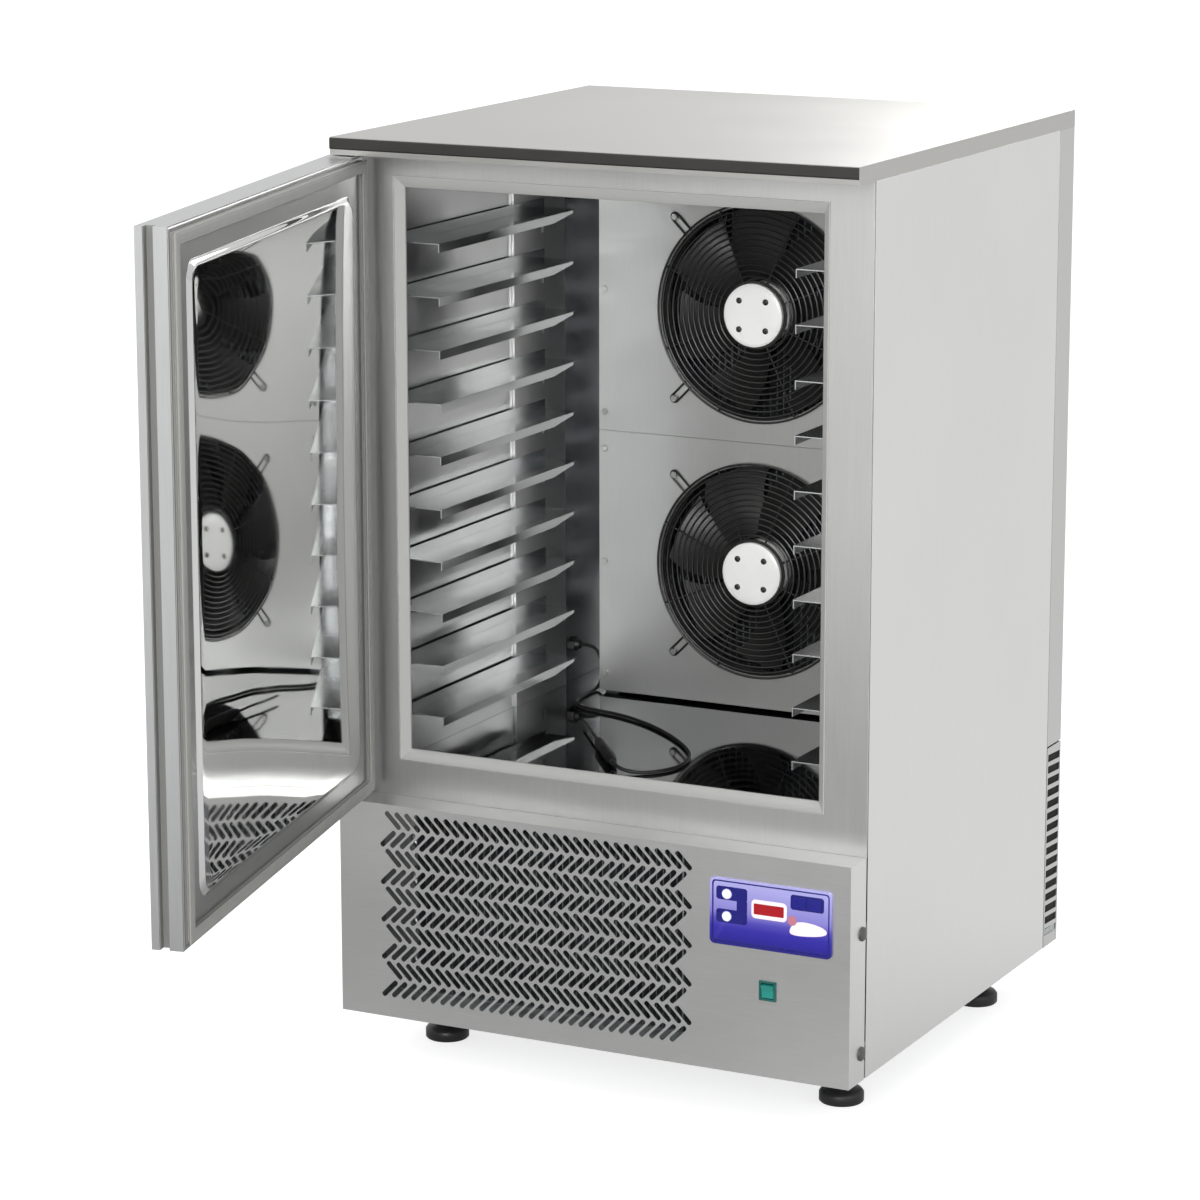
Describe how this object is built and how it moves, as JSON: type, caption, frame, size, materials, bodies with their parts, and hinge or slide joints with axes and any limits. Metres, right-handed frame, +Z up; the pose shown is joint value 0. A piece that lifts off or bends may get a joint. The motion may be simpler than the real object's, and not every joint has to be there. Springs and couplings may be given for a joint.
{
  "type": "blast chiller",
  "caption": "Stainless steel reach-in blast chiller with a tall side-hinged door standing open, tray ledges, fans at the rear of the chamber and a slotted machine compartment below.",
  "frame": {"origin": "on the floor, under the middle of the whole object's outline with the door open as pictured", "axes": "+X to the right seen from the front, +Y from the front towards the rear, +Z up"},
  "size_m": [0.7654, 1.4372, 1.26],
  "materials": {
    "stainless_satin": "satin",
    "stainless_polished": "polished",
    "galvanised_sheet": "matte",
    "dark_trim": "matte",
    "grey_pvc": "satin",
    "pu_foam": "matte",
    "zinc_screws": "satin",
    "grey_caps": "satin",
    "grip_plastic": "satin",
    "coated_tube": "satin",
    "dark_teal_plastic": "satin",
    "aluminium_fins": "matte",
    "copper_tube": "satin",
    "black_wire": "satin",
    "white_cover": "satin",
    "black_rotor": "satin",
    "black_plastic": "satin",
    "black_cable": "matte",
    "blue_plastic": "gloss",
    "display_red": "gloss",
    "white_plastic": "gloss",
    "navy_plastic": "gloss",
    "teal_plastic": "gloss",
    "black_enamel": "satin",
    "grey_enamel": "satin",
    "gasket_rubber": "matte",
    "nylon": "matte"
  },
  "bodies": {
    "cabinet": {"base_pan": "galvanised_sheet", "machine_frame": "galvanised_sheet", "left_side_panel": "stainless_satin", "right_side_panel": "stainless_satin", "back_panel": "stainless_satin", "rear_grille": "stainless_satin", "top_panel": "stainless_satin", "top_edge_trim": "dark_trim", "door_surround": "stainless_satin", "breaker_strip": "grey_pvc", "chamber_liner": "stainless_polished", "insulation_foam": "pu_foam", "chamber_drain": "stainless_polished", "rack_uprights": "stainless_polished", "left_runners": "stainless_polished", "right_runners": "stainless_polished", "upper_fan_panel": "stainless_satin", "lower_fan_panel": "stainless_satin", "panel_screws": "zinc_screws", "side_screws": "grey_caps", "evaporator_coil": "aluminium_fins", "evaporator_bends": "coated_tube", "upper_fan_guard": "black_wire", "lower_fan_guard": "black_wire", "upper_fan_motor": "white_cover", "lower_fan_motor": "white_cover", "cable_gland": "black_plastic", "probe_cable": "black_cable", "core_probe": "black_plastic", "front_panel": "stainless_satin", "control_bezel": "blue_plastic", "control_display": "display_red", "switch_bezel": "dark_teal_plastic", "hinge_brackets": "zinc_screws", "foot_sockets": "black_plastic", "compressor": "black_enamel", "condenser_coil": "aluminium_fins", "condenser_shroud": "galvanised_sheet", "condenser_fan_motor": "black_enamel", "liquid_receiver": "black_enamel", "refrigerant_pipes": "copper_tube", "electrical_box": "galvanised_sheet"},
    "door": {"door_skin": "stainless_satin", "door_core": "pu_foam", "door_liner": "stainless_polished", "door_gasket": "gasket_rubber", "door_grip": "grip_plastic", "door_bushes": "nylon"},
    "upper_fan": {"upper_impeller": "black_rotor"},
    "lower_fan": {"lower_impeller": "black_rotor"},
    "condenser_fan": {"condenser_impeller": "grey_enamel"},
    "start_button": {"start_key": "white_plastic"},
    "stop_button": {"stop_key": "white_plastic"},
    "mode_button": {"mode_key": "navy_plastic"},
    "set_button": {"set_key": "navy_plastic"},
    "power_rocker": {"switch_rocker": "teal_plastic"},
    "foot_fl": {"front_left_foot": "black_plastic"},
    "foot_fr": {"front_right_foot": "black_plastic"},
    "foot_rl": {"rear_left_foot": "black_plastic"},
    "foot_rr": {"rear_right_foot": "black_plastic"}
  },
  "joints": [
    {"name": "door_swing", "type": "hinge", "parent": "cabinet", "child": "door", "pos_m": [-0.35729, 0.00217, 0.804], "axis": [0, 0, 1], "range_deg": [-32.5, 77.5]},
    {"name": "upper_fan_spin", "type": "hinge", "parent": "cabinet", "child": "upper_fan", "pos_m": [0.01071, 0.50857, 0.984], "axis": [0, 1, 0], "continuous": true},
    {"name": "lower_fan_spin", "type": "hinge", "parent": "cabinet", "child": "lower_fan", "pos_m": [0.01071, 0.50857, 0.621], "axis": [0, 1, 0], "continuous": true},
    {"name": "condenser_fan_spin", "type": "hinge", "parent": "cabinet", "child": "condenser_fan", "pos_m": [-0.10129, 0.14257, 0.221], "axis": [0, 1, 0], "continuous": true},
    {"name": "start_button_press", "type": "slide", "parent": "cabinet", "child": "start_button", "axis": [0, 1, 0], "range_m": [0, 0.001], "stiffness_N_per_m": 1500},
    {"name": "stop_button_press", "type": "slide", "parent": "cabinet", "child": "stop_button", "axis": [0, 1, 0], "range_m": [0, 0.001], "stiffness_N_per_m": 1500},
    {"name": "mode_button_press", "type": "slide", "parent": "cabinet", "child": "mode_button", "axis": [0, 1, 0], "range_m": [0, 0.001], "stiffness_N_per_m": 1500},
    {"name": "set_button_press", "type": "slide", "parent": "cabinet", "child": "set_button", "axis": [0, 1, 0], "range_m": [0, 0.001], "stiffness_N_per_m": 1500},
    {"name": "power_switch", "type": "hinge", "parent": "cabinet", "child": "power_rocker", "pos_m": [0.26371, -0.01543, 0.19], "axis": [1, 0, 0], "range_deg": [-18, 0]},
    {"name": "foot_fl_screw", "type": "hinge", "parent": "cabinet", "child": "foot_fl", "pos_m": [-0.29429, 0.13257, 0], "axis": [0, 0, 1], "range_deg": [-360, 360]},
    {"name": "foot_fr_screw", "type": "hinge", "parent": "cabinet", "child": "foot_fr", "pos_m": [0.30171, 0.13257, 0], "axis": [0, 0, 1], "range_deg": [-360, 360]},
    {"name": "foot_rl_screw", "type": "hinge", "parent": "cabinet", "child": "foot_rl", "pos_m": [-0.29429, 0.60657, 0], "axis": [0, 0, 1], "range_deg": [-360, 360]},
    {"name": "foot_rr_screw", "type": "hinge", "parent": "cabinet", "child": "foot_rr", "pos_m": [0.30171, 0.60657, 0], "axis": [0, 0, 1], "range_deg": [-360, 360]}
  ]
}
